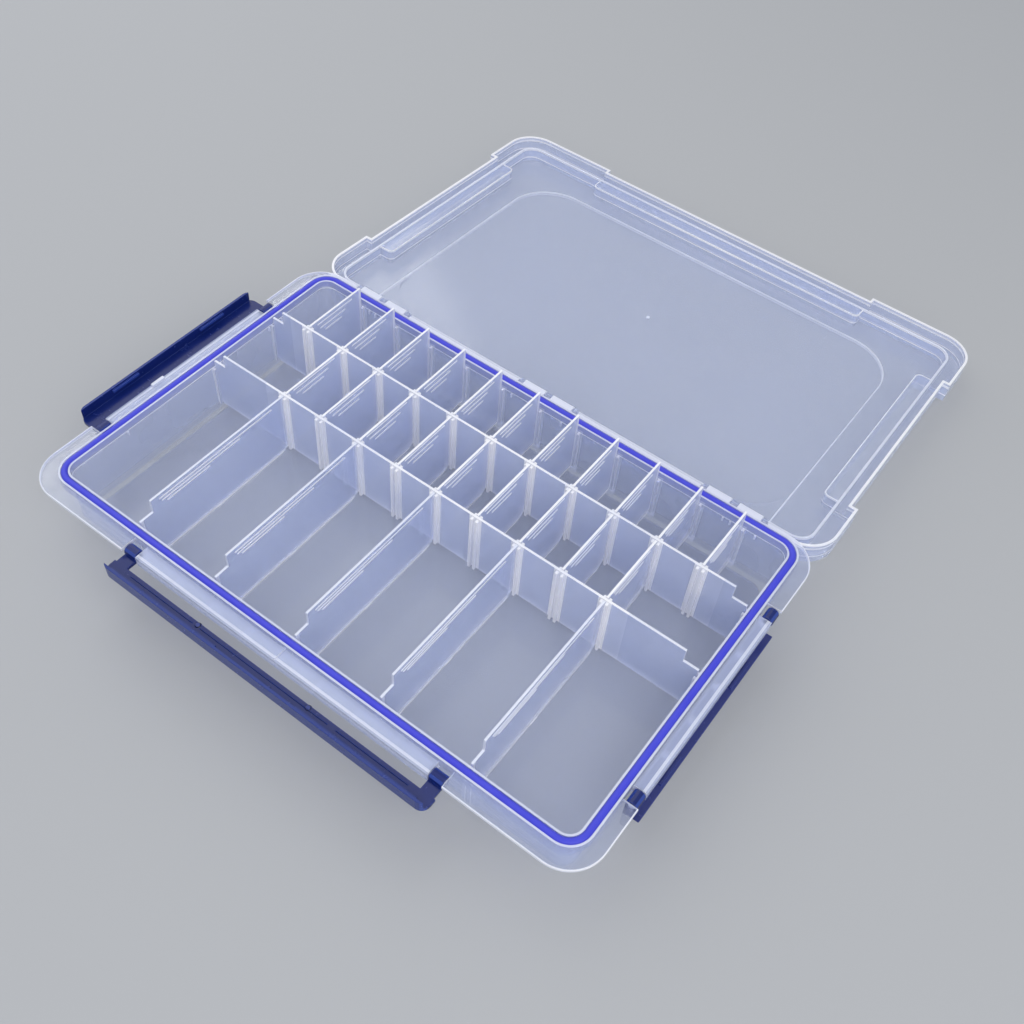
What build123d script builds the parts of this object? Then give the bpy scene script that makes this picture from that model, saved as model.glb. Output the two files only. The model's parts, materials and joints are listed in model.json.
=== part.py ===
"""Bead storage box: a shallow clear tray under a hinged lid, closed by three side latches.

The tray carries a seal in its rim and 27 loose dividers that make 28 compartments.
Units are millimetres. X runs along the long side, +Y to the hinge side and +Z up.
The origin is the middle of the tray's underside. The box stands open, lid laid back.
"""
from build123d import *
import os

os.makedirs("parts", exist_ok=True)

# How far a cut runs past the face it opens
past = 1.0

# Depth of the flats that keep the mould's parting line off a round pin or rod
parting_flat = 0.1

# Tray: the space inside the rim, its walls and its floor
inner_length = 322.0
inner_width = 198.2
inner_corner = 7.2
wall = 1.6
draft = 1.0
floor_under = 0.8
floor_top = 2.6
foot_width = 5.0
foot_bevel = 2.4
floor_bevel = 1.6

# Rim: two lips with the seal's groove between them
lip = 1.1
lip_top = 35.5
groove_width = 3.8
groove_floor = lip_top - 4.9
rim_base = lip_top - 6.5
rim_length = inner_length + 4 * lip + 2 * groove_width
rim_width = inner_width + 4 * lip + 2 * groove_width
rim_corner = inner_corner + 2 * lip + groove_width

# Seal lying in the groove
seal_width = 3.5
seal_top = lip_top + 0.5
seal_rest = 0.1
seal_bevel = 1.0
seal_length = inner_length + 2 * lip + groove_width
seal_across = inner_width + 2 * lip + groove_width
seal_corner = inner_corner + lip + groove_width / 2

# Outline that the rim's flange and the lid share
flange_side = 8.2
flange_front = 9.3
flange_back = 2.7
outline_length = rim_length + 2 * flange_side
outline_width = rim_width + flange_front + flange_back
outline_corner = 20.0
outline_y = (flange_back - flange_front) / 2
flange_top = lip_top - 1.4
flange_thick = 1.8
flange_base = flange_top - flange_thick

# Dividers: 11 slots along the box, two long dividers across them
slot_count = 11
end_cell = 29.0
back_row = 45.7
middle_row = 46.8
slot_pitch = (inner_length - 2 * end_cell) / (slot_count - 1)
long_y = {"back": inner_width / 2 - back_row, "front": inner_width / 2 - back_row - middle_row}
divider_thick = 1.3
long_thick = 1.4
divider_top = lip_top + 9.2
divider_foot = floor_top + 0.2
shelf_top = lip_top + 0.3
shelf_length = 9.6
slot_rib = 1.5
slot_reach = 1.9
slide_fit = 0.2
end_fit = 0.4
wall_slope = 0.6
wall_bevel = floor_bevel + 0.6
rib_shift = (divider_thick + slot_rib) / 2 + slide_fit

# Hinge axis and its clip groups
hinge_y = rim_width / 2 + flange_back
hinge_z = flange_top - 1.6
hinge_end = 45.0
hinge_groups = (hinge_end - rim_length / 2, 0.0, rim_length / 2 - hinge_end)
open_angle = 183.3
clip_radius = 2.5
clip_inner = 2.4
clip_outer = 16.7
clip_root = 0.6
clip_bevel = 1.0
rod_radius = 1.2
rod_fit = 0.2
rod_snap = 0.25
finger_radius = 2.2
finger_root = 4.0
finger_thick = 2.6
finger_fit = 0.4
finger_room = 4.0

# Latches: pivot line, plate and lip, measured from the pivot with the latch shut
pivot_z = flange_top - 3.3
pivot_inset = 3.8
pin_radius = 1.7
pin_fit = 0.25
pin_short = 0.6
barrel_radius = 3.2
barrel_length = 7.5
barrel_sides = 12
plate_thick = 2.0
plate_round = 5.0
plate_short = 1.5
plate_start = {"front": 8.3, "left": 5.0, "right": 5.0}
lip_thick = 1.5
lip_fit = 0.2
lip_inward = 4.9
notch_front = rim_length / 2 - 65.6
notch_side = rim_width / 2 - 39.1
notch_gap = 8.6
notch_fit = 0.5
ridge_out = 10.5
ridge_size = 0.5
tooth_width = 1.6
tooth_height = 1.4

# Hollow bars that stand in for the flange between the latches' pins
bar_base = pivot_z - 3.6
bar_top = pivot_z + 2.7
bar_out = 2.9
bar_skin = 1.5
bar_mark = 0.5
bar_cells = {"front": 8, "left": 5, "right": 5}

# Lid, measured with the lid shut
lid_base = flange_top + 0.2
panel_under = divider_top + 1.0
panel_top = panel_under + 1.6
skin = 1.5
zone_depth = 4.0
seal_rib = 1.4
rib_base = seal_top + 0.2
raised_length = outline_length - 71.4
raised_width = outline_width - 47.2
raised_corner = 31.0
raised_y = outline_y + 8.3
raised = 0.6
well_width = 7.4
well_under = shelf_top + 1.0
well_corner = 3.6
strip_inward = 5.5
strip_top = panel_under
strip_thick = 3.0
plate_reach = strip_top + lip_fit + lip_thick - pivot_z
tooth_slot = 2.4
tooth_slot_depth = 1.5
tooth_slot_end = 3.0

# The latch side frames: x along the side, y outwards, z up, origin on the pivot line
front_pivot = outline_width / 2 - outline_y - pivot_inset
side_pivot = outline_length / 2 - pivot_inset
sides = {
    "front": Location((0, -front_pivot, pivot_z), (0, 0, 180)),
    "left": Location((-side_pivot, outline_y, pivot_z), (0, 0, 90)),
    "right": Location((side_pivot, outline_y, pivot_z), (0, 0, -90)),
}
notch = {"front": notch_front, "left": notch_side, "right": notch_side}
to_rim = {
    "front": front_pivot - rim_width / 2,
    "left": side_pivot - rim_length / 2,
    "right": side_pivot - rim_length / 2,
}
lid_zone = {"front": notch_front + 1.2, "left": notch_side, "right": notch_side}

slots = [slot_pitch * (index - (slot_count - 1) / 2) for index in range(slot_count)]


def carried(place, plane):
    """The given plane moved along with a piece that stands at another place."""
    return Plane(place * plane.location)


def save(part, name):
    part.label = name
    export_step(part, f"parts/{name}.step")


def ring(length, width, corner, thick):
    """A rounded rectangular ring of the given thickness, drawn on its middle line."""
    with BuildSketch() as loop:
        RectangleRounded(length + thick, width + thick, corner + thick / 2)
        RectangleRounded(length - thick, width - thick, corner - thick / 2, mode=Mode.SUBTRACT)
    return loop.sketch


# The tray
with BuildPart() as tray:
    # Drafted walls on a bevelled foot
    with BuildSketch(Plane.XY.offset(rim_base)):
        RectangleRounded(inner_length + 2 * wall, inner_width + 2 * wall, inner_corner + wall)
    extrude(amount=-rim_base, taper=draft)
    foot_edges = tray.edges().group_by(Axis.Z)[0]
    chamfer(foot_edges, length=foot_bevel)

    # Rim block and flange
    with BuildSketch(Plane.XY.offset(rim_base)):
        RectangleRounded(rim_length, rim_width, rim_corner)
    extrude(amount=lip_top - rim_base)
    with BuildSketch(Plane.XY.offset(flange_base)):
        with Locations((0, outline_y)):
            RectangleRounded(outline_length, outline_width, outline_corner)
    extrude(amount=flange_thick)

    # The flange is cut back along each latch and a hollow bar stands in its place
    for side, place in sides.items():
        cut_out = pivot_inset + past
        with BuildSketch(carried(place, Plane.XY.offset(flange_base - pivot_z))):
            with Locations((0, (cut_out - to_rim[side]) / 2)):
                Rectangle(2 * notch[side], cut_out + to_rim[side])
        extrude(amount=flange_thick, mode=Mode.SUBTRACT)
        bar_half = notch[side] - notch_gap
        bar_in = to_rim[side] + lip / 2
        with BuildSketch(carried(place, Plane.XY.offset(bar_base - pivot_z))):
            with Locations((0, (bar_out - bar_in) / 2)):
                Rectangle(2 * bar_half, bar_out + bar_in)
        extrude(amount=bar_top - bar_base)
        cell = (2 * bar_half - bar_skin) / bar_cells[side]
        cell_width = bar_out + to_rim[side] - 2 * bar_skin
        with BuildSketch(carried(place, Plane.XY.offset(bar_base - pivot_z))):
            with Locations((0, bar_out - bar_skin - cell_width / 2)):
                with GridLocations(cell, 0, bar_cells[side], 1):
                    Rectangle(cell - bar_skin, cell_width)
        extrude(amount=bar_top - bar_base - bar_skin, mode=Mode.SUBTRACT)
        # Stub pins at the bar's two ends carry the latch
        for end in (-1, 1):
            with BuildSketch(carried(place, Plane.YZ.offset(end * (bar_half - bar_skin)))):
                Circle(pin_radius)
                Rectangle(2 * (pin_radius - parting_flat), 2 * pin_radius, mode=Mode.INTERSECT)
            extrude(amount=end * (notch_gap + bar_skin - pin_short))
    # A small rib marks the middle of the front bar
    with BuildSketch(carried(sides["front"], Plane.XY.offset(bar_top - pivot_z))):
        with Locations((0, (bar_out - to_rim["front"]) / 2)):
            Rectangle(2 * bar_mark, bar_out + to_rim["front"])
    extrude(amount=bar_mark)

    # Three pairs of clip blocks along the hinge
    clip_length = clip_outer - clip_inner
    clip_back = hinge_y - rim_width / 2 + clip_root
    for group in hinge_groups:
        for end in (-1, 1):
            near = group + end * clip_inner
            with BuildSketch(Plane.YZ.offset(near)) as block:
                with Locations((hinge_y + clip_radius, hinge_z)):
                    Rectangle(clip_back + clip_radius, 2 * clip_radius, align=(Align.MAX, Align.CENTER))
                chamfer(block.vertices().group_by(Axis.X)[-1], length=clip_bevel)
            extrude(amount=end * clip_length)
            with BuildSketch(Plane.YZ.offset(near)):
                with Locations((hinge_y, hinge_z)):
                    RegularPolygon(rod_radius + rod_fit, barrel_sides, major_radius=False)
                with Locations((hinge_y, hinge_z - clip_radius)):
                    Rectangle(2 * (rod_radius - rod_snap), 2 * clip_radius)
            extrude(amount=end * clip_length, mode=Mode.SUBTRACT)
        # The flange gives way to the lid's hinge fingers
        finger_middle = clip_outer + finger_room / 2
        rooms = ((0, 2 * clip_inner), (finger_middle, finger_room), (-finger_middle, finger_room))
        for middle, room in rooms:
            with BuildSketch(Plane.YZ.offset(group + middle - room / 2)):
                with Locations((hinge_y, hinge_z)):
                    Rectangle(2 * clip_radius + finger_fit, 2 * clip_radius + finger_fit)
            extrude(amount=room, mode=Mode.SUBTRACT)

    # The space inside, drafted, with a bevelled foot
    with BuildSketch(Plane.XY.offset(lip_top)):
        RectangleRounded(inner_length, inner_width, inner_corner)
    extrude(amount=-(lip_top - floor_top), taper=draft, mode=Mode.SUBTRACT)
    inside_edges = tray.edges().filter_by_position(Axis.Z, floor_top - 0.01, floor_top + 0.01)
    chamfer(inside_edges, length=floor_bevel)

    # Seal groove
    with BuildSketch(Plane.XY.offset(groove_floor)):
        add(ring(seal_length, seal_across, seal_corner, groove_width))
    extrude(amount=lip_top - groove_floor, mode=Mode.SUBTRACT)

    # The underside stands on a rim round its edge
    with BuildSketch(Plane.XY):
        RectangleRounded(inner_length - 2 * foot_width, inner_width - 2 * foot_width, inner_corner)
    extrude(amount=floor_under, mode=Mode.SUBTRACT)

    # Rib pairs hold the dividers' ends: every slot at the back, every second one in front
    for edge, places in ((1, slots), (-1, slots[1::2])):
        y = edge * inner_width / 2
        with BuildSketch(Plane.XY.offset(floor_top)):
            for x in places:
                with Locations((x - rib_shift, y), (x + rib_shift, y)):
                    Rectangle(slot_rib, 2 * slot_reach)
        extrude(amount=groove_floor - floor_top)
    for x in (-inner_length / 2, inner_length / 2):
        with BuildSketch(Plane.XY.offset(floor_top)):
            for y in long_y.values():
                with Locations((x, y - rib_shift), (x, y + rib_shift)):
                    Rectangle(2 * slot_reach, slot_rib)
        extrude(amount=groove_floor - floor_top)
save(tray.part, "tray")


# The seal: a closed loop with a bevelled top
with BuildPart() as seal:
    with BuildSketch(Plane.XY.offset(groove_floor + seal_rest)):
        add(ring(seal_length, seal_across, seal_corner, seal_width))
    extrude(amount=seal_top - groove_floor - seal_rest)
    top_edges = seal.edges().group_by(Axis.Z)[-1]
    chamfer(top_edges, length=seal_bevel)
save(seal.part, "seal")


# The lid, drawn shut and carried open about the hinge axis
hinge_line = Location((0, hinge_y, hinge_z))
lid_place = hinge_line * Location((0, 0, 0), (-open_angle, 0, 0)) * hinge_line.inverse()
outline_edge = {"front": front_pivot + pivot_inset, "left": side_pivot + pivot_inset}


def lid_outline(inset):
    """The lid's outline moved in by the given amount, set back along each latch."""
    with BuildSketch() as outline:
        with Locations((0, outline_y)):
            RectangleRounded(outline_length - 2 * inset, outline_width - 2 * inset, outline_corner - inset)
        with Locations((0, inset - outline_edge["front"])):
            Rectangle(2 * (lid_zone["front"] + inset), 2 * zone_depth, mode=Mode.SUBTRACT)
        for end in (-1, 1):
            with Locations((end * (outline_edge["left"] - inset), outline_y)):
                Rectangle(2 * zone_depth, 2 * (lid_zone["left"] + inset), mode=Mode.SUBTRACT)
    return outline.sketch


with BuildPart() as lid:
    # A hollow block open downwards
    with BuildSketch(carried(lid_place, Plane.XY.offset(lid_base))):
        add(lid_outline(0))
    extrude(amount=panel_top - lid_base)
    with BuildSketch(carried(lid_place, Plane.XY.offset(lid_base))):
        add(lid_outline(skin))
    extrude(amount=panel_under - lid_base, mode=Mode.SUBTRACT)

    # The middle of the panel is raised a little
    for level, mode in ((panel_top, Mode.ADD), (panel_under, Mode.SUBTRACT)):
        with BuildSketch(carried(lid_place, Plane.XY.offset(level))):
            with Locations((0, raised_y)):
                RectangleRounded(raised_length, raised_width, raised_corner)
        extrude(amount=raised, mode=mode)

    # The rib that presses the seal
    with BuildSketch(carried(lid_place, Plane.XY.offset(rib_base))):
        add(ring(seal_length, seal_across, seal_corner, seal_rib))
    extrude(amount=panel_top - rib_base - skin / 2)

    # Along each latch: a sunk strip for the latch's lip, a slot for its teeth and a finger well
    for side, place in sides.items():
        here = lid_place * place
        zone = lid_zone[side]
        edge_in = zone_depth - pivot_inset
        strip_width = strip_inward + skin
        with BuildSketch(carried(here, Plane.XY.offset(strip_top - strip_thick - pivot_z))):
            with Locations((0, -edge_in - strip_width / 2)):
                Rectangle(2 * (zone + skin), strip_width)
        extrude(amount=strip_thick)
        with BuildSketch(carried(here, Plane.XY.offset(strip_top - pivot_z))):
            with Locations((0, -edge_in + (past - strip_inward) / 2)):
                Rectangle(2 * zone, strip_inward + past)
        extrude(amount=panel_top - strip_top, mode=Mode.SUBTRACT)
        with BuildSketch(carried(here, Plane.XY.offset(strip_top - tooth_slot_depth - pivot_z))):
            with Locations((0, -edge_in - skin - tooth_slot / 2)):
                Rectangle(2 * (zone - tooth_slot_end), tooth_slot)
        extrude(amount=tooth_slot_depth, mode=Mode.SUBTRACT)
        well_out = to_rim[side] + (rim_width - seal_across + seal_rib) / 2
        well_block = well_width + skin
        with BuildSketch(carried(here, Plane.XY.offset(well_under - pivot_z))):
            with Locations((0, -well_out - well_block / 2)):
                RectangleRounded(2 * zone, well_block, well_corner)
            with Locations((0, -well_out - well_block / 4)):
                Rectangle(2 * zone, well_block / 2)
        extrude(amount=panel_under - well_under)
        with BuildSketch(carried(here, Plane.XY.offset(well_under + skin - pivot_z))):
            with Locations((0, -well_out - well_width / 2)):
                RectangleRounded(2 * (zone - skin), well_width, well_corner - skin)
        extrude(amount=panel_top + raised - well_under - skin, mode=Mode.SUBTRACT)

    # Hinge fingers and the rods that snap into the tray's clips
    for group in hinge_groups:
        side_finger = clip_outer + finger_fit + finger_thick / 2
        middle_thick = 2 * (clip_inner - finger_fit)
        fingers = ((0, middle_thick), (side_finger, finger_thick), (-side_finger, finger_thick))
        for middle, thick in fingers:
            with BuildSketch(carried(lid_place, Plane.YZ.offset(group + middle - thick / 2))) as finger:
                with Locations((hinge_y, hinge_z - finger_radius)):
                    middle_low = (Align.CENTER, Align.MIN)
                    Rectangle(2 * finger_radius, finger_radius + finger_root, align=middle_low)
                chamfer(finger.vertices().group_by(Axis.Y)[0], length=clip_bevel)
            extrude(amount=thick)
        # The skirt clears the tray's clip blocks
        for end in (-1, 1):
            near = group + end * (clip_inner - finger_fit)
            with BuildSketch(carried(lid_place, Plane.YZ.offset(near))):
                with Locations((hinge_y, hinge_z)):
                    Rectangle(2 * clip_radius + 4 * finger_fit, 2 * clip_radius + 4 * finger_fit)
            extrude(amount=end * (clip_length + 2 * finger_fit), mode=Mode.SUBTRACT)
        rod_half = clip_outer + finger_thick
        with BuildSketch(carried(lid_place, Plane.YZ.offset(group - rod_half))):
            with Locations((hinge_y, hinge_z)):
                Circle(rod_radius)
                Rectangle(2 * (rod_radius - parting_flat), 2 * rod_radius, mode=Mode.INTERSECT)
        extrude(amount=2 * rod_half)
save(lid.part, "lid")


def make_latch(side, turn, teeth, ridges):
    """One latch, drawn shut in its side's frame and turned open by the given angle."""
    here = sides[side] * Location((0, 0, 0), (-turn, 0, 0))
    length = 2 * (notch[side] - plate_short) if side != "front" else 2 * notch[side] + 1
    plate_in = barrel_radius - plate_thick
    arm_in = notch[side] - notch_gap + notch_fit
    front_view = carried(here, Plane.XZ.offset(-barrel_radius - past))
    with BuildPart() as latch:
        # Plate and inward lip
        with BuildSketch(carried(here, Plane.YZ.offset(-length / 2))):
            with BuildLine():
                Polyline(
                    (barrel_radius, 0),
                    (barrel_radius, plate_reach),
                    (-lip_inward, plate_reach),
                    (-lip_inward, plate_reach - lip_thick),
                    (plate_in, plate_reach - lip_thick),
                    (plate_in, 0),
                    close=True,
                )
            make_face()
        extrude(amount=length)
        # Rounded ends, and arms that reach down beside the bar
        with BuildSketch(front_view):
            with Locations((0, 0)):
                RectangleRounded(length, 2 * plate_reach, plate_round)
        extrude(amount=barrel_radius + lip_inward + 2 * past, mode=Mode.INTERSECT)
        with BuildSketch(front_view):
            with Locations((0, 0)):
                Rectangle(2 * arm_in, 2 * plate_start[side])
            for end in (-1, 1):
                with Locations((end * (arm_in + barrel_length + plate_reach / 2), 0)):
                    Rectangle(plate_reach, 2 * plate_start[side])
        extrude(amount=barrel_radius + past, mode=Mode.SUBTRACT)
        # Barrels round the tray's stub pins
        for end in (-1, 1):
            with BuildSketch(carried(here, Plane.YZ.offset(end * arm_in))):
                RegularPolygon(barrel_radius, barrel_sides)
            extrude(amount=end * barrel_length)
        for end in (-1, 1):
            with BuildSketch(carried(here, Plane.YZ.offset(end * arm_in))):
                RegularPolygon(pin_radius + pin_fit, barrel_sides, major_radius=False)
            extrude(amount=end * barrel_length, mode=Mode.SUBTRACT)
        # Teeth under the lip, and fine ridges along the plate
        tooth_out = -(zone_depth - pivot_inset) - skin - tooth_slot / 2
        for middle, run in teeth:
            with BuildSketch(carried(here, Plane.YZ.offset(middle - run / 2))):
                with Locations((tooth_out, plate_reach - lip_thick + (ridge_size - tooth_height) / 2)):
                    Rectangle(tooth_width, tooth_height)
            extrude(amount=run)
        for start, stop in ridges:
            with BuildSketch(carried(here, Plane.YZ.offset(start))):
                with Locations((plate_in, ridge_out)):
                    Rectangle(2 * ridge_size, ridge_size)
            extrude(amount=stop - start)
    save(latch.part, f"{side}_latch")


# Teeth and ridges are placed by their share of the latch's half length
front_teeth = [(end * 0.6 * notch_front, 0.7 * notch_front) for end in (-1, 1)]
side_teeth = [(end * 0.49 * notch_side, 0.28 * notch_side) for end in (-1, 1)]
ridge_shares = ((-0.87, -0.45), (-0.4, 0.4), (0.45, 0.87))
front_ridges = [(start * notch_front, stop * notch_front) for start, stop in ridge_shares]
make_latch("front", 90, front_teeth, front_ridges)
make_latch("left", 90, side_teeth, [])
make_latch("right", 180, side_teeth, [])


def make_long_divider(name, y, slot_list):
    """A long divider with a pair of ribs on both faces at each slot it serves."""
    half = inner_length / 2 - wall_slope - end_fit
    step_x = inner_length / 2 - shelf_length
    with BuildPart() as divider:
        with BuildSketch(Plane.XZ.offset(-y - long_thick / 2)) as profile:
            with BuildLine():
                Polyline((-half, divider_foot), (half, divider_foot), (half, shelf_top), (step_x, shelf_top))
                Polyline((step_x, shelf_top), (step_x, divider_top), (-step_x, divider_top))
                Polyline((-step_x, divider_top), (-step_x, shelf_top), (-half, shelf_top))
                Line((-half, shelf_top), (-half, divider_foot))
            make_face()
            low = profile.vertices().group_by(Axis.Y)[0]
            chamfer(low, length=wall_bevel)
        extrude(amount=long_thick)
        with BuildSketch(Plane.XY.offset(divider_foot)):
            for x in slot_list:
                with Locations((x - rib_shift, y), (x + rib_shift, y)):
                    Rectangle(slot_rib, long_thick + 2 * slot_reach)
        extrude(amount=divider_top - past - divider_foot)
    save(divider.part, name)


make_long_divider("long_divider_back", long_y["back"], slots)
make_long_divider("long_divider_front", long_y["front"], slots[1:-1])

# Cross dividers have a wide round on the corner beside a long divider
corner_round = 9.0


def make_cross_divider(row, number, x, y_front, y_back):
    """A short divider across the box. In the front row its wall end is cut down to the lid's well."""
    with BuildPart() as divider:
        with BuildSketch(Plane.YZ.offset(x - divider_thick / 2)) as profile:
            with Locations((y_front, divider_foot)):
                corner = (Align.MIN, Align.MIN)
                Rectangle(y_back - y_front, divider_top - divider_foot, align=corner)
            if row == "front":
                step_y = shelf_length - inner_width / 2
                with Locations((step_y, shelf_top)):
                    corner = (Align.MAX, Align.MIN)
                    Rectangle(step_y - y_front, divider_top, align=corner, mode=Mode.SUBTRACT)
            low = profile.vertices().group_by(Axis.Y)[0].sort_by(Axis.X)
            beside_wall = {"back": low[1:], "middle": [], "front": low[:1]}[row]
            beside_long = {"back": low[:1], "middle": low, "front": low[1:]}[row]
            fillet(beside_long, radius=corner_round)
            if beside_wall:
                corners = profile.vertices().group_by(Axis.Y)[0].sort_by(Axis.X)
                chamfer(corners[-1 if row == "back" else 0], length=wall_bevel)
        extrude(amount=divider_thick)
    save(divider.part, f"{row}_divider_{number}")


wall_end = inner_width / 2 - wall_slope - end_fit
clear = long_thick / 2 + end_fit
rows = {
    "back": (slots, long_y["back"] + clear, wall_end),
    "middle": (slots[1:-1], long_y["front"] + clear, long_y["back"] - clear),
    "front": (slots[1::2], -wall_end, long_y["front"] - clear),
}
for row, (places, y_front, y_back) in rows.items():
    for index, x in enumerate(places):
        make_cross_divider(row, index + 1, x, y_front, y_back)
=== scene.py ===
"""A clear bead storage box standing open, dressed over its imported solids. Metres, Z up."""
import json
import math

import bmesh
import bpy
from mathutils import Matrix, Vector


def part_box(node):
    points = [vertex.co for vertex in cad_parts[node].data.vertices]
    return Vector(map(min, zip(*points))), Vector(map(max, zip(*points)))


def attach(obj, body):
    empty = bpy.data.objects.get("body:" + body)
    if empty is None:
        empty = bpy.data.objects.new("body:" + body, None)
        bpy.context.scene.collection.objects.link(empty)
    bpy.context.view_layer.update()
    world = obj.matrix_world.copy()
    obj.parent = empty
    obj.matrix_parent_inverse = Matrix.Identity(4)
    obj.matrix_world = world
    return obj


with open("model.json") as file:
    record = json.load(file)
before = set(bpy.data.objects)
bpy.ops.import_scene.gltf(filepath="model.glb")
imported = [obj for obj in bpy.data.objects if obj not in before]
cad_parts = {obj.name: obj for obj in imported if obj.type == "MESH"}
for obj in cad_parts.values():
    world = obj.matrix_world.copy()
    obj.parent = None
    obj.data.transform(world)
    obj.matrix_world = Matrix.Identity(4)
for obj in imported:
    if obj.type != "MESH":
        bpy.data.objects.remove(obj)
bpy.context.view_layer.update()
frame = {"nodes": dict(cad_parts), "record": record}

# The camera stands over the tray's front right corner and looks down on the open box,
# with the tray in front and the laid-back lid behind it.
eye = bpy.data.objects.new("camera", bpy.data.cameras.new("camera"))
eye.location = (0.23227, -0.28813, 0.50502)
eye.rotation_euler = (math.radians(38.219), math.radians(-3.626), math.radians(36.718))
eye.data.sensor_width = 36
eye.data.lens = 40.637
eye.data.clip_start = 0.01
bpy.context.collection.objects.link(eye)
bpy.context.scene.camera = eye

# The studio is a plain pale floor, painted paler far away as painted light where the lamps
# don't reach, and so is its own backdrop, under a broad lamp on the left, another on the right
# in front and an even sky.
floor_pale = (0.47, 0.48, 0.50, 1)
floor_far_painted_light = (0.92, 0.93, 0.96, 1)
floor_turns = (1.7, 2.7)
floor_half = 6
lamp_side = 2.0
lamp_aim = Vector((0, 0.06, 0.02))
sky_tone = (0.93, 0.96, 1.0, 1)
sky_level = 0.5
sky_seen = 0.62


class Mark:
    """One socket of a material, on which sums can be written."""

    def __init__(self, tree, socket=None):
        self.tree = tree
        self.socket = socket

    def make(self, kind, settings=None, sockets=None, out=0):
        """Adds a node of this kind, with its settings and then its sockets, and gives one output."""
        node = self.tree.nodes.new(kind)
        for name, value in (settings or {}).items():
            setattr(node, name, value)
        for name, value in (sockets or {}).items():
            if isinstance(value, Mark):
                self.tree.links.new(value.socket, node.inputs[name])
            else:
                node.inputs[name].default_value = value
        return Mark(self.tree, node.outputs[out])

    def make_sum(self, operation, other=None):
        """Adds a Math node on this and, where one is given, another value."""
        values = {0: self} if other is None else {0: self, 1: other}
        return self.make("ShaderNodeMath", {"operation": operation}, values)

    def __add__(self, other):
        return self.make_sum("ADD", other)

    def __radd__(self, other):
        return self + other

    def __sub__(self, other):
        return self.make_sum("SUBTRACT", other)

    def __rsub__(self, other):
        return self * -1 + other

    def __mul__(self, other):
        return self.make_sum("MULTIPLY", other)

    def __rmul__(self, other):
        return self * other

    def __truediv__(self, other):
        return self.make_sum("DIVIDE", other)

    def __pow__(self, other):
        return self.make_sum("POWER", other)

    def __gt__(self, other):
        return self.make_sum("GREATER_THAN", other)

    def __lt__(self, other):
        return self.make_sum("LESS_THAN", other)

    def __abs__(self):
        return self.make_sum("ABSOLUTE")

    def most(self, other):
        return self.make_sum("MAXIMUM", other)

    def least(self, other):
        return self.make_sum("MINIMUM", other)

    def ease(self, low, high):
        """0 up to low, 1 from high on, with a smooth rise between."""
        settings = {"interpolation_type": "SMOOTHSTEP"}
        return self.make("ShaderNodeMapRange", settings, {"Value": self, "From Min": low, "From Max": high})

    def tint(self, one, other):
        """The colour one where this is 0 and the other where it is 1."""
        return self.make("ShaderNodeMix", {"data_type": "RGBA"}, {"Factor": self, 6: one, 7: other}, out=2)

    def noise(self, scale, detail=2.0, roughness=0.5):
        """Cloudy noise at so many lumps to the metre."""
        sockets = {"Vector": self, "Scale": scale, "Detail": detail, "Roughness": roughness}
        return self.make("ShaderNodeTexNoise", None, sockets)

    def parts(self):
        """The x, y and z of a vector."""
        first = self.make("ShaderNodeSeparateXYZ", None, {"Vector": self})
        return [Mark(self.tree, socket) for socket in first.socket.node.outputs]

    def bump(self, height, strength):
        """A surface raised by the height, whose full strength is a millimetre."""
        return self.make("ShaderNodeBump", None, {"Height": height, "Strength": strength, "Distance": 0.001})


def new_finish(name):
    """An empty material with its main shader, its positions and its surface directions."""
    finish = bpy.data.materials.new(name)
    finish.use_nodes = True
    tree = finish.node_tree
    shader = tree.nodes["Principled BSDF"]
    here = Mark(tree).make("ShaderNodeTexCoord", None, None, out=3)
    facing = Mark(tree).make("ShaderNodeTexCoord", None, None, out=1)
    return finish, shader, here, facing


def feed(shader, **values):
    """Sets the shader's sockets, whose names are written with underscores."""
    for name, value in values.items():
        socket = shader.inputs[name.replace("_", " ")]
        if isinstance(value, Mark):
            value.tree.links.new(value.socket, socket)
        else:
            socket.default_value = value


floor_finish, shader, here, facing = new_finish("studio_floor")
x, y, z = here.parts()
away = (x * x + y * y) ** 0.5
# Painted light: the floor is painted paler far away, where the lamps leave it dark
feed(shader, Base_Color=away.ease(*floor_turns).tint(floor_pale, floor_far_painted_light))
feed(shader, Roughness=0.75, Specular_IOR_Level=0.2)
floor_sheet = bmesh.new()
bmesh.ops.create_grid(floor_sheet, x_segments=1, y_segments=1, size=floor_half)
floor_mesh = bpy.data.meshes.new("studio_floor")
floor_sheet.to_mesh(floor_mesh)
floor_sheet.free()
floor = bpy.data.objects.new("studio_floor", floor_mesh)
floor.data.materials.append(floor_finish)
bpy.context.collection.objects.link(floor)

for name, place, power in (
    ("broad_lamp", (-1.0, 0.30, 1.15), 12.0),
    ("front_lamp", (0.95, -0.75, 1.05), 16.0),
):
    lamp = bpy.data.objects.new(name, bpy.data.lights.new(name, "AREA"))
    lamp.data.size = lamp_side
    lamp.data.energy = power
    lamp.location = place
    lamp.rotation_euler = (Vector(place) - lamp_aim).to_track_quat("Z", "Y").to_euler()
    bpy.context.collection.objects.link(lamp)

sky = bpy.data.worlds.new("studio_sky")
sky.use_nodes = True
bpy.context.scene.world = sky
sky_mark = Mark(sky.node_tree)
rays = sky_mark.make("ShaderNodeLightPath").socket.node.outputs
kinds = [Mark(sky.node_tree, rays[f"Is {kind} Ray"]) for kind in ("Camera", "Glossy", "Transmission")]
seen = kinds[0].most(kinds[1]).most(kinds[2])
background = sky.node_tree.nodes["Background"]
background.inputs["Color"].default_value = sky_tone
sky.node_tree.links.new((seen * (sky_seen - sky_level) + sky_level).socket, background.inputs["Strength"])
bpy.context.scene.view_settings.view_transform = "Standard"

# Light goes through many clear walls one behind another
bpy.context.scene.cycles.max_bounces = 24
bpy.context.scene.cycles.transmission_bounces = 24
bpy.context.scene.cycles.transparent_max_bounces = 48
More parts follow.
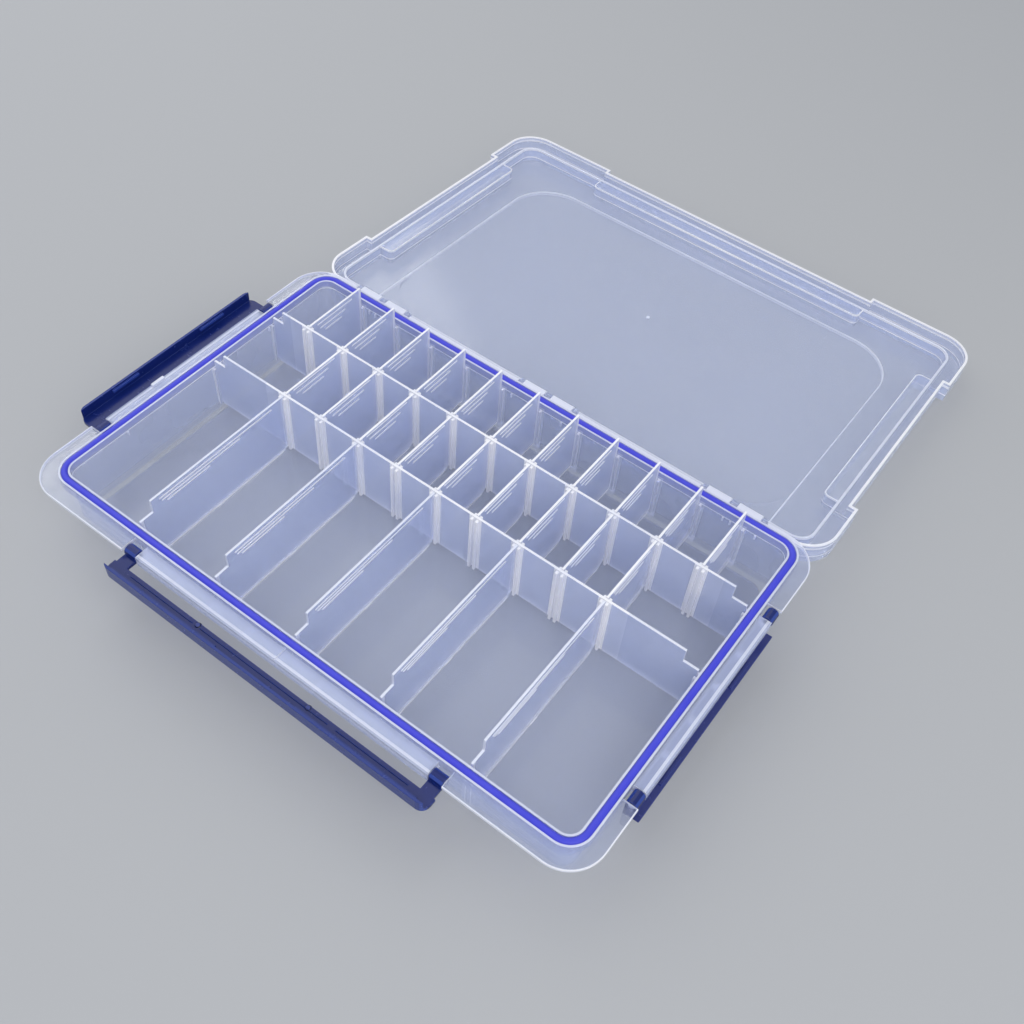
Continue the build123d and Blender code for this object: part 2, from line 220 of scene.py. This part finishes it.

# The tray is one moulding of cloudy clear polypropylene: clear in its thin floor and walls,
# milky where it is thick, painted lighter with highlights where it is seen on edge, and glossy
# all over with faint flow marks.
clear_tone = (0.62, 0.69, 0.96, 1)
milk_tone = (0.61, 0.69, 0.95, 1)
# Lighter where the milky share is high: partly milkier plastic, partly painted highlight
milk_and_highlight_bright = (0.82, 0.85, 0.98, 1)
# Near-white painted highlight for the bright lines on edges
edge_painted_highlight = (0.95, 0.95, 1.0, 1)
lip_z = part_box("tray")[1][2]
flange_top = lip_z - 0.0014
flange_base = lip_z - 0.0032
inner_edge = lip_z - 0.0052
joints_top = lip_z - 0.0030
outline_half = (0.1752, 0.1111)
outline_corner = 0.0200
outline_line = 0.0006
rim_half = (0.1670, 0.1040)
inner_half = (0.1615, 0.0996)
rib_zone = (0.1550, 0.0900)
straight = 0.9
clip_start = 0.1040
slot_pitch = 0.0264
joint_half = 0.0038
joints_half = 0.1350
joints_y = {"back": 0.0960, "front": -0.0930}
front_latch_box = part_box("front_latch")
side_latch_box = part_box("left_latch")
side_middle = sum(corner[1] for corner in side_latch_box) / 2
# The bars between the latches' pins: where they start, how far their ends are short of the
# latches', their half lengths and their ridges
bar_start = {"front": -0.1056, "side": 0.1675}
bar_short = {"front": 0.0091, "side": 0.0080}
bar_half = {
    "front": (front_latch_box[1][0] - front_latch_box[0][0]) / 2 - bar_short["front"],
    "side": (side_latch_box[1][1] - side_latch_box[0][1]) / 2 - bar_short["side"],
}
bar_ridge = {"front": (-0.1126, -0.1112), "side": (0.1719, 0.1733)}
cloud_scale = 16
flow_scale = 75
flow_height = 0.02
clear_lets_by = 0.7
milk_lets_by = 0.55
tray_round = 0.00015
joined_within = 0.000002
sharp_from = math.radians(26)


def soften(piece, width):
    """Rounds a moulded piece's edges as the mould does. Its own mesh stays as it is."""
    weld = piece.modifiers.new("joined", "WELD")
    weld.merge_threshold = joined_within
    rounding = piece.modifiers.new("rounded_edges", "BEVEL")
    rounding.limit_method = "ANGLE"
    rounding.angle_limit = sharp_from
    rounding.width = width
    rounding.segments = 2
    rounding.use_clamp_overlap = False
    shading = piece.modifiers.new("shading", "WEIGHTED_NORMAL")
    shading.keep_sharp = True


def clear_plastic(name, milkiness_and_highlights, clearness=0.6, gloss=0.08):
    """Cloudy clear plastic. The function given as its second argument says, from here and facing,
    where it is milky and where highlights are painted on it as bright lines, and clearness how much
    of what is behind it passes unbent. Light that comes from lamps and from round about passes
    more easily than sight does, as it does through the real sheet, which scatters it forwards."""
    finish, clear, here, facing = new_finish(name)
    tree = finish.node_tree
    paths = here.make("ShaderNodeLightPath").socket.node.outputs
    lit = Mark(tree, paths["Is Shadow Ray"]).most(Mark(tree, paths["Is Diffuse Ray"]))
    cloud = here.noise(cloud_scale, 3.0)
    flow = here.noise(flow_scale, 4.0, 0.6)
    rough = gloss + 0.10 * flow
    surface = here.bump(flow, flow_height)
    feed(clear, Base_Color=clear_tone, Transmission_Weight=1.0, IOR=1.49)
    feed(clear, Roughness=rough, Normal=surface, Alpha=(1 - clearness) * (1 - clear_lets_by * lit))
    share = (milkiness_and_highlights(here, facing) * (0.85 + 0.3 * cloud)).least(1.0)
    milky = tree.nodes.new("ShaderNodeBsdfPrincipled")
    # The tone grows lighter with the share and turns near white at its top: a painted highlight on edge
    # lines
    tone = share.ease(0.2, 0.8).tint(milk_tone, milk_and_highlight_bright)
    feed(milky, Base_Color=share.ease(0.84, 0.94).tint(tone, edge_painted_highlight))
    feed(milky, Roughness=rough + 0.12, Normal=surface)
    feed(milky, Alpha=1 - milk_lets_by * lit)
    mixer = here.make("ShaderNodeMixShader", None, {"Fac": share}).socket.node
    tree.links.new(clear.outputs[0], mixer.inputs[1])
    tree.links.new(milky.outputs[0], mixer.inputs[2])
    tree.links.new(mixer.outputs[0], tree.nodes["Material Output"].inputs["Surface"])
    return finish


def dress(name, finish, round_width):
    """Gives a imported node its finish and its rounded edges."""
    node = frame["nodes"][name]
    node.data.materials.clear()
    node.data.materials.append(finish)
    soften(node, round_width)


def between(value, low, high):
    """1 where the value is between the two others."""
    return (value > low) * (value < high)


def near_slot(along, pitch):
    """1 beside each slot for a divider's end, where the rib pair scatters light."""
    turns = (along / pitch + 0.5).make_sum("FRACT")
    return abs(turns - 0.5) * pitch < joint_half


def from_corner(x, y, half, corner):
    """How far a place is from the rounding's middle at the corners of a rounded rectangle."""
    past_x = (abs(x) - (half[0] - corner)).most(0.0)
    past_y = (y - (half[1] - corner)).most(0.0)
    return (past_x * past_x + past_y * past_y) ** 0.5


def tray_milk_and_highlights(here, facing):
    """Milky on the rim's lips, the clip blocks, the bars and the rib pairs, with painted highlight
    lines on the flange's edge, its outline, the rim's inner edge and where the bars' skin turns.
    """
    x, y, z = here.parts()
    nx, ny, nz = facing.parts()
    off_middle = abs(y - side_middle)
    upright = 1 - abs(nz)
    turned = (1 - abs(nx).most(abs(ny)).most(abs(nz))).ease(0.03, 0.15)
    lips = z.ease(lip_z - 0.0003, lip_z - 0.0001)
    # The flange's edge gets a painted highlight line at its top and a fainter one at its foot, and
    # its rounded outline a fine painted highlight line from above too
    top_line = between(z, flange_top - 0.0005, flange_top - 0.00001)
    foot_line = between(z, flange_base - 0.0002, flange_base + 0.0003)
    outside = (abs(x) > rim_half[0]).most(off_middle > rim_half[1])
    flange_edge = (top_line + foot_line * 0.5) * outside * (upright > 0.04)
    on_flange = between(z, flange_base - 0.0003, flange_top + 0.0002)
    reach = from_corner(x, off_middle, outline_half, outline_corner)
    outline = (reach > outline_corner - outline_line) * on_flange
    clips = y.ease(clip_start, clip_start + 0.0010)
    # The bars are milky, with a painted highlight where their skin turns, and milkier along a ridge
    front_bar = (y < bar_start["front"]) * (abs(x) < bar_half["front"])
    side_bar = (abs(x) > bar_start["side"]) * (off_middle < bar_half["side"])
    ridge = between(y, *bar_ridge["front"]) + between(abs(x), *bar_ridge["side"])
    bars = front_bar.most(side_bar) * (0.34 + 0.4 * turned).most(ridge * 0.65)
    # The rib pairs, and the wall between them that takes a divider's end
    ribs = (abs(nx) > straight) * (abs(x) < rib_zone[0]) + (abs(ny) > straight) * (abs(y) < rib_zone[1])
    inside = abs(y) < inner_half[1]
    back_joints = (y > joints_y["back"]) * near_slot(x, slot_pitch)
    front_joints = (y < joints_y["front"]) * near_slot(x, 2 * slot_pitch)
    joints = (back_joints + front_joints) * (abs(x) < joints_half) * (z < joints_top) * inside
    # The rim's inner face is thicker down to the edge that the nibs hang from, which gets a painted
    # highlight line
    inside = inside * (abs(x) < inner_half[0])
    inner_face = inside * (z > inner_edge)
    inner_line = inside * between(z, inner_edge - 0.0001, inner_edge + 0.0007)
    milk = upright * 0.24 + 0.07
    for place, share in (
        (joints, 0.5),
        (inner_face, 0.35),
        (inner_line, 0.85),
        (lips, 0.7),
        (flange_edge, 0.95),
        (outline, 0.85),
        (clips, 0.78),
        (ribs, 0.8),
    ):
        milk = milk.most(place * share)
    return milk.most(bars)


tray_finish = clear_plastic("tray_polypropylene", tray_milk_and_highlights)
dress("tray", tray_finish, tray_round)


def add_bar(mesh, low, high, rounding):
    """A bar with rounded edges between two corners."""
    middle = (Vector(low) + Vector(high)) / 2
    sizes = Vector(high) - Vector(low)
    place = Matrix.Translation(middle) @ Matrix.Diagonal((*sizes, 1))
    bar = bmesh.ops.create_cube(mesh, size=1, matrix=place)
    edges = list({edge for vert in bar["verts"] for edge in vert.link_edges})
    bmesh.ops.bevel(mesh, geom=edges, offset=rounding, segments=2, profile=0.5, affect="EDGES", material=-1)


def set_down(name, mesh, finish, body):
    """Makes a piece of this mesh that rides on a body and has the given finish."""
    bmesh.ops.recalc_face_normals(mesh, faces=mesh.faces)
    data = bpy.data.meshes.new(name)
    mesh.to_mesh(data)
    mesh.free()
    piece = bpy.data.objects.new(name, data)
    piece.data.materials.append(finish)
    bpy.context.collection.objects.link(piece)
    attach(piece, body)


# Small nibs hang under the rim's inner lip on two sides and a small tab stands on the left
# bar. They are moulded with the tray, of the same plastic.
nib_top = lip_z - 0.0050
nib_height = 0.0028
nib_width = 0.0011
nib_proud = 0.0009
nib_sunk = 0.0003
nib_round = 0.0003
nibs_x = (-0.1255, -0.1210, -0.0189, 0.0157, 0.1209, 0.1255, 0.1405)
nibs_y = (-0.0580, 0.0125, 0.0495, 0.0598)
wall_back = 0.0990
wall_left = -0.1608
bar_tab = ((-0.1742, -0.0285, lip_z - 0.0022), (-0.1722, -0.0197, lip_z - 0.0007))
mesh = bmesh.new()
for nib_x in nibs_x:
    low = (nib_x - nib_width / 2, wall_back - nib_proud, nib_top - nib_height)
    add_bar(mesh, low, (nib_x + nib_width / 2, wall_back + nib_sunk, nib_top), nib_round)
for nib_y in nibs_y:
    low = (wall_left - nib_sunk, nib_y - nib_width / 2, nib_top - nib_height)
    add_bar(mesh, low, (wall_left + nib_proud, nib_y + nib_width / 2, nib_top), nib_round)
add_bar(mesh, *bar_tab, nib_round)


def nib_milk(here, facing):
    return abs(facing.parts()[2]) * 0.2 + 0.6


nib_finish = clear_plastic("nib_polypropylene", nib_milk)
set_down("tray_nibs", mesh, nib_finish, "tray")

# The seal is a soft blue cord of silicone rubber laid in the groove between the rim's lips,
# moulded as a closed loop with a round top that stands a little over them.
seal_blue = (0.045, 0.05, 0.64, 1)
seal_bloom = (0.085, 0.095, 0.74, 1)
seal_round = 0.0004
finish, shader, here, facing = new_finish("seal_silicone")
mottle = here.noise(120, 3.0)
lint = here.noise(1400, 1.0).ease(0.70, 0.76)
feed(shader, Base_Color=(mottle * 0.7 + lint * 0.5).tint(seal_blue, seal_bloom))
feed(shader, Roughness=0.40 + 0.12 * mottle + 0.2 * lint, IOR=1.43)
feed(shader, Normal=here.bump(here.noise(500, 2.0), 0.08))
dress("seal", finish, seal_round)

# The dividers are loose sheets of the same plastic, milkier than the tray. The long ones
# carry pairs of ribs that hold the short ones' ends, and the light that comes out at every cut
# edge is painted on as a bright highlight.
long_names = [name for name in frame["nodes"] if name.startswith("long")]
long_y = {name: sum(corner[1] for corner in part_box(name)) / 2 for name in long_names}
sheet_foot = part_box("front_divider_1")[0][2]
sheet_half = 0.0015
foot_line_top = sheet_foot + 0.0013
joint_reach = {"front": 0.1190, "back": 0.1450}
near_long = 0.0050
in_joint = 0.0031
sheet_end = 0.0962
sheet_round = 0.00015
rib_proud = 0.00025
rib_sunk = 0.0001
rib_width = 0.0008
rib_round = 0.0001
# How far each rib's top is under the sheet's top, and its ends from the sheet's front and back
rib_places = {
    "back": ((0.0023, 0.0060, 0.0080), (0.0059, 0.0080, 0.0140), (0.0096, 0.0120, 0.0175)),
    "middle": ((0.0009, 0.0050, 0.0065), (0.0046, 0.0070, 0.0120), (0.0082, 0.0115, 0.0160)),
    "front": ((0.0023, 0.0136, 0.0100), (0.0047, 0.0150, 0.0340), (0.0071, 0.0180, 0.0560)),
}
tab_y = -0.0485
tab_length = 0.0055
tab_height = 0.0012
tab_round = 0.00012


def along_x_milk_and_highlights(here, facing):
    """A sheet that stands along X, milky on its rib pairs, with a painted highlight on its edges."""
    x, y, z = here.parts()
    nx, ny, nz = facing.parts()
    off_back = abs(y - long_y["long_divider_back"])
    off_front = abs(y - long_y["long_divider_front"])
    on_rib = off_back.least(off_front) > sheet_half
    on_back = (off_back < near_long) * (abs(x) < joint_reach["back"])
    slotted = (abs(x) < joint_reach["front"]).most(on_back)
    beside = near_slot(x, slot_pitch) * slotted
    # Painted highlight on the sheet's cut edges
    edges = (1 - abs(ny)).ease(0.02, 0.3)
    return edges.most(on_rib * 0.95).most(beside) * 0.46 + slotted * 0.07 + 0.38


def along_y_milk_and_highlights(here, facing):
    """A sheet that stands along Y, milky at its ends in the ribs, with a painted highlight on its
    edges and a near-white painted highlight line at its foot.
    """
    x, y, z = here.parts()
    nx, ny, nz = facing.parts()
    off_long = [abs(y - middle) for middle in long_y.values()]
    at_end = (off_long[0].least(off_long[1]) < in_joint).most(abs(y) > sheet_end)
    # Painted highlight on the sheet's cut edges
    edges = (1 - abs(nx)).ease(0.02, 0.3).most(at_end * 0.7)
    among_small = (y > long_y["long_divider_front"]) * 0.12
    # The foot is painted near white: a painted highlight line
    return (edges * 0.56 + 0.28 + among_small).most(z < foot_line_top)


def sheet_rib_milk_and_highlight(here, facing):
    # The fine ribs are painted near white: a painted highlight
    return abs(facing.parts()[0]) * 0.1 + 0.85


long_finish = clear_plastic("long_divider_polypropylene", along_x_milk_and_highlights, clearness=0.5)
cross_finish = clear_plastic("cross_divider_polypropylene", along_y_milk_and_highlights, clearness=0.5)
rib_finish = clear_plastic("divider_rib_polypropylene", sheet_rib_milk_and_highlight)
for name in long_names:
    dress(name, long_finish, sheet_round)
for name in frame["nodes"]:
    if "divider" not in name or name in long_names:
        continue
    dress(name, cross_finish, sheet_round)
    low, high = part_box(name)
    inner_face, outer_face = high[0] - rib_sunk, high[0] + rib_proud
    # Fine ribs near the sheet's top and, on the front row's sheets, a small tab at the foot
    mesh = bmesh.new()
    row = name.split("_")[0]
    for under, from_front, from_back in rib_places[row]:
        start = (inner_face, low[1] + from_front, high[2] - under - rib_width)
        add_bar(mesh, start, (outer_face, high[1] - from_back, high[2] - under), rib_round)
    if row == "front":
        start = (inner_face, tab_y - tab_length / 2, low[2])
        add_bar(mesh, start, (outer_face, tab_y + tab_length / 2, low[2] + tab_height), tab_round)
    set_down(name + "_ribs", mesh, rib_finish, name)

# The lid is a shallow moulded pan, laid back on the table with its inside up. Its middle is
# raised a little, a rib round it presses the seal, and wells by the latches take a fingertip.
lid_joint = next(joint for joint in frame["record"]["behaviour"]["joints"] if joint["name"] == "lid_hinge")
hinge_y, hinge_z = lid_joint["pos_m"][1:]
laid_back = math.radians(-lid_joint["range_deg"][0])
turn_cos, turn_sin = math.cos(laid_back), math.sin(laid_back)
# Heights, with the lid shut, of the edges that catch the light, painted on as bright highlight
# lines: the skirt's and the seal rib's all round, then the wells' and the latch strips' where they
# turn up
lid_rims = ((0.0340, 0.0349, 0.95), (0.0360, 0.0366, 0.75))
lid_steps = ((0.0366, 0.0374, 0.9), (0.0425, 0.0433, 0.9))
# Each well: its middle line, how far it runs either way, and half its width with its corners' radius
well_line = {"side": 0.1580, "front": -0.0961}
well_run = {"side": 0.0624, "front": 0.0990}
well_round = 0.0036
well_ring = (well_round - 0.0007, well_round + 0.0001)
well_heights = (0.0362, 0.0378)
panel_half = (0.1395, 0.0875)
panel_corner = 0.031
panel_middle = 0.0050
panel_line = (0.0003, 0.0005)
panel_inside = 0.0440
panel_end = 0.0960
lid_round = 0.00015


def lid_milk_and_highlights(here, facing):
    """Painted highlight lines on the pan's edges, its seal rib and its wells, over a milky pan, worked out
    for the lid as if shut.
    """
    x, y, z = here.parts()
    nx, ny, nz = facing.parts()
    away, over = y - hinge_y, z - hinge_z
    shut_y = hinge_y + turn_cos * away - turn_sin * over
    shut_z = hinge_z + turn_sin * away + turn_cos * over
    upright = 1 - abs(turn_sin * ny + turn_cos * nz)
    milk = upright * 0.16 + 0.20
    for low, high, share in lid_rims:
        milk = milk.most(between(shut_z, low, high) * share)
    for low, high, share in lid_steps:
        milk = milk.most(between(shut_z, low, high) * (upright > 0.1) * share)
    # Each well gets a painted highlight line round its top
    from_side = (well_line["side"] - abs(x)).most(0.0)
    past_side = (abs(shut_y - side_middle) - well_run["side"]).most(0.0)
    from_front = (shut_y - well_line["front"]).most(0.0)
    past_front = (abs(x) - well_run["front"]).most(0.0)
    for across, along in ((from_side, past_side), (from_front, past_front)):
        off = (across * across + along * along) ** 0.5
        milk = milk.most(between(off, *well_ring) * between(shut_z, *well_heights) * 0.9)
    # The raised panel's outline gets one fine painted highlight line, which runs on to the hinge side
    off_line = abs(from_corner(x, panel_middle - shut_y, panel_half, panel_corner) - panel_corner)
    line = (1 - off_line.ease(*panel_line)) * (shut_y < panel_end) * (shut_z > panel_inside)
    return milk.most(line * 0.7)


lid_finish = clear_plastic("lid_polypropylene", lid_milk_and_highlights, gloss=0.05)
dress("lid", lid_finish, lid_round)

# The lid's gate mark is a tiny round of the same plastic in the middle of the panel, where it
# was let into the mould. Its place is given for the lid shut, and it is laid back with it.
gate_shut = (-0.0025, -0.0090, 0.0463)
gate_radius = 0.0013
gate_height = 0.0005
away, over = gate_shut[1] - hinge_y, gate_shut[2] - hinge_z
gate_y = hinge_y + turn_cos * away + turn_sin * over
gate_z = hinge_z - turn_sin * away + turn_cos * over


def add_mark(mesh, place, radius, taper, height):
    """A low round with a sloping side."""
    bmesh.ops.create_cone(
        mesh, cap_ends=True, segments=32, radius1=radius, radius2=radius * taper, depth=height, matrix=place
    )


mesh = bmesh.new()
place = Matrix.Translation((gate_shut[0], gate_y, gate_z)) @ Matrix.Rotation(math.pi - laid_back, 4, "X")
add_mark(mesh, place, gate_radius, 0.8, gate_height)
set_down("lid_gate_mark", mesh, nib_finish, "lid")

# The three latches are navy plastic, a little see-through where thin, moulded with their lips
# and teeth and swung open on the tray's stub pins.
navy = (0.006, 0.018, 0.16, 1)
navy_worn = (0.013, 0.034, 0.23, 1)
navy_painted_highlight = (0.035, 0.080, 0.42, 1)
navy_lit = (0.070, 0.085, 0.31, 1)
latch_round = 0.0002
lips_from = {"front": -0.1250, "side": 0.1866}
teeth_x = (-0.18645, -0.1853)
teeth_from = 0.0322
# The plate of the latch that hangs down is painted lighter: painted light, for the light that falls on it
# and comes through it
hanging_x = 0.1700
hanging_top = 0.0285
finish, shader, here, facing = new_finish("latch_navy")
mottle = here.noise(60, 3.0)
scuff = here.noise(220, 4.0, 0.7).ease(0.55, 0.75)
nx, ny, nz = facing.parts()
x, y, z = here.parts()
# Turned faces, the lips and the teeth are painted lighter blue: a painted highlight
lips = (y < lips_from["front"]).most(abs(x) > lips_from["side"]) * 0.45
teeth = between(x, *teeth_x) * (z > teeth_from) * 0.8
edges = (1 - abs(nx).most(abs(ny)).most(abs(nz))).ease(0.03, 0.15).most(teeth).most(lips)
# Painted light: the hanging plate is painted lighter
hanging_painted_light = (x > hanging_x) * (z < hanging_top) * 0.7
plain = hanging_painted_light.tint((mottle * 0.6 + scuff * 0.4).tint(navy, navy_worn), navy_lit)
feed(shader, Base_Color=edges.tint(plain, navy_painted_highlight), Roughness=0.18 + 0.10 * mottle + 0.10 * scuff)
feed(shader, IOR=1.5, Transmission_Weight=0.25, Specular_IOR_Level=0.35)
feed(shader, Normal=here.bump(here.noise(300, 2.0), 0.05))
for name in ("front_latch", "left_latch", "right_latch"):
    dress(name, finish, latch_round)

# The front latch has faint round marks that the mould's pins left in the navy plastic: two
# larger ones and three small ones, each with painted shade where its side slopes.
navy_painted_shade = (0.002, 0.005, 0.045, 1)
mark_z = 0.0296
mark_height = 0.0007
marks = (
    (-0.0427, -0.1204, 0.0019),
    (0.0282, -0.1204, 0.0019),
    (-0.0568, -0.1237, 0.0009),
    (0.0069, -0.1237, 0.0009),
    (0.0718, -0.1240, 0.0009),
)
mark_finish, shader, here, facing = new_finish("latch_mark_navy")
# Painted shade on the marks' sloping sides
sloping_painted_shade = (1 - abs(facing.parts()[2])).ease(0.02, 0.15)
feed(shader, Base_Color=sloping_painted_shade.tint(navy_worn, navy_painted_shade), Roughness=0.3)
mesh = bmesh.new()
for mark_x, mark_y, radius in marks:
    add_mark(mesh, Matrix.Translation((mark_x, mark_y, mark_z)), radius, 0.6, mark_height)
set_down("front_latch_mould_marks", mesh, mark_finish, "front_latch")
